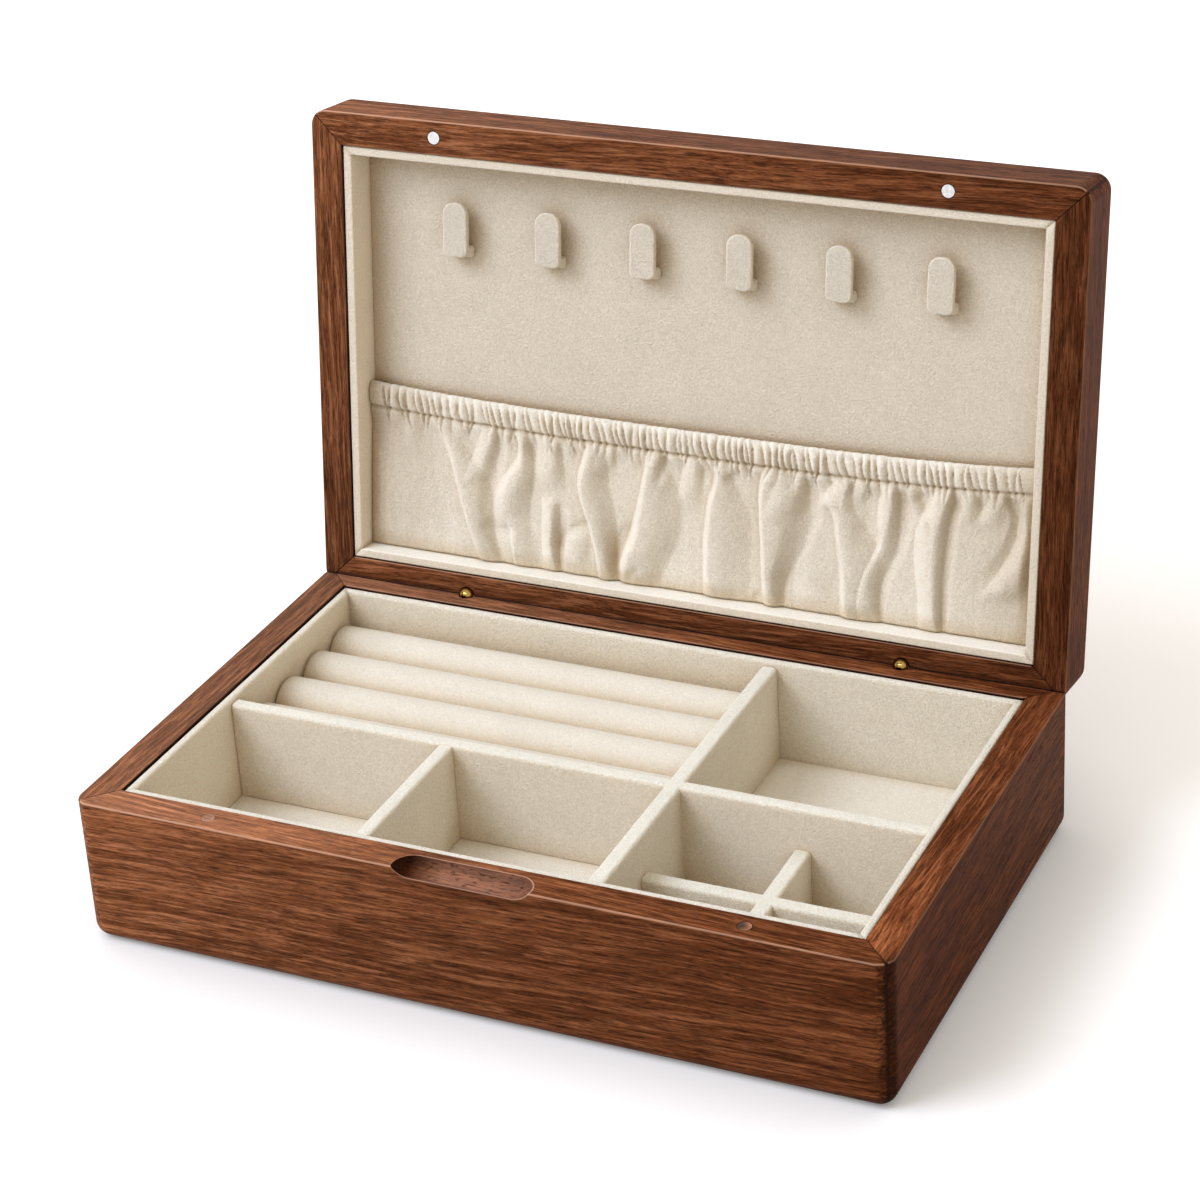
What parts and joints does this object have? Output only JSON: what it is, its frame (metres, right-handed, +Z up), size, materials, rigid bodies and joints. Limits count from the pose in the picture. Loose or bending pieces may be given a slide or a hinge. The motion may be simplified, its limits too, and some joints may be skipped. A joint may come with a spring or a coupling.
{
  "type": "cufflink and jewellery display box",
  "caption": "Rectangular walnut display box standing open: lined and divided tray with padded ring rolls, hinged lid with necklace hooks and a gathered pocket.",
  "frame": {"origin": "centre of the underside, on the surface that the box rests on", "axes": "+X to the right as the open box is faced, +Y to the rear where the hinges are, +Z up"},
  "size_m": [0.32, 0.2486, 0.2534],
  "materials": {
    "walnut": "satin oiled walnut",
    "plywood": "sanded plywood",
    "felt": "pressed felt",
    "suede": "cream microsuede over board",
    "roll_suede": "cream microsuede over foam",
    "pocket_cloth": "gathered cream microsuede",
    "brass": "polished brass",
    "magnet_plating": "satin nickel plating"
  },
  "bodies": {
    "base": {"base_front_rail": "walnut", "base_rear_rail": "walnut", "base_left_rail": "walnut", "base_right_rail": "walnut", "base_bottom_panel": "plywood", "underside_felt": "felt", "base_magnets": "magnet_plating", "base_magnet_plugs": "walnut", "tray_front_wall": "suede", "tray_rear_wall": "suede", "tray_left_wall": "suede", "tray_right_wall": "suede", "tray_floor": "suede", "long_divider": "suede", "cross_divider": "suede", "front_left_divider": "suede", "low_long_bar": "suede", "low_cross_bar": "suede", "ring_roll_1": "roll_suede", "ring_roll_2": "roll_suede", "ring_roll_3": "roll_suede", "ring_roll_4": "roll_suede", "left_hinge_base_knuckle": "brass", "right_hinge_base_knuckle": "brass", "left_hinge_pin": "brass", "right_hinge_pin": "brass"},
    "lid": {"lid_front_rail": "walnut", "lid_rear_rail": "walnut", "lid_left_rail": "walnut", "lid_right_rail": "walnut", "lid_top_panel": "walnut", "lid_liner_panel": "suede", "lid_front_strip": "suede", "lid_rear_strip": "suede", "lid_left_strip": "suede", "lid_right_strip": "suede", "lid_magnets": "magnet_plating", "necklace_hook_1": "suede", "necklace_hook_2": "suede", "necklace_hook_3": "suede", "necklace_hook_4": "suede", "necklace_hook_5": "suede", "necklace_hook_6": "suede", "pocket_cloth": "pocket_cloth", "pocket_band": "pocket_cloth", "left_hinge_lid_knuckle": "brass", "right_hinge_lid_knuckle": "brass"}
  },
  "joints": [
    {"name": "lid_hinge", "type": "hinge", "parent": "base", "child": "lid", "pos_m": [0, 0.095, 0.06015], "axis": [1, 0, 0], "range_deg": [0, 97.5]}
  ]
}
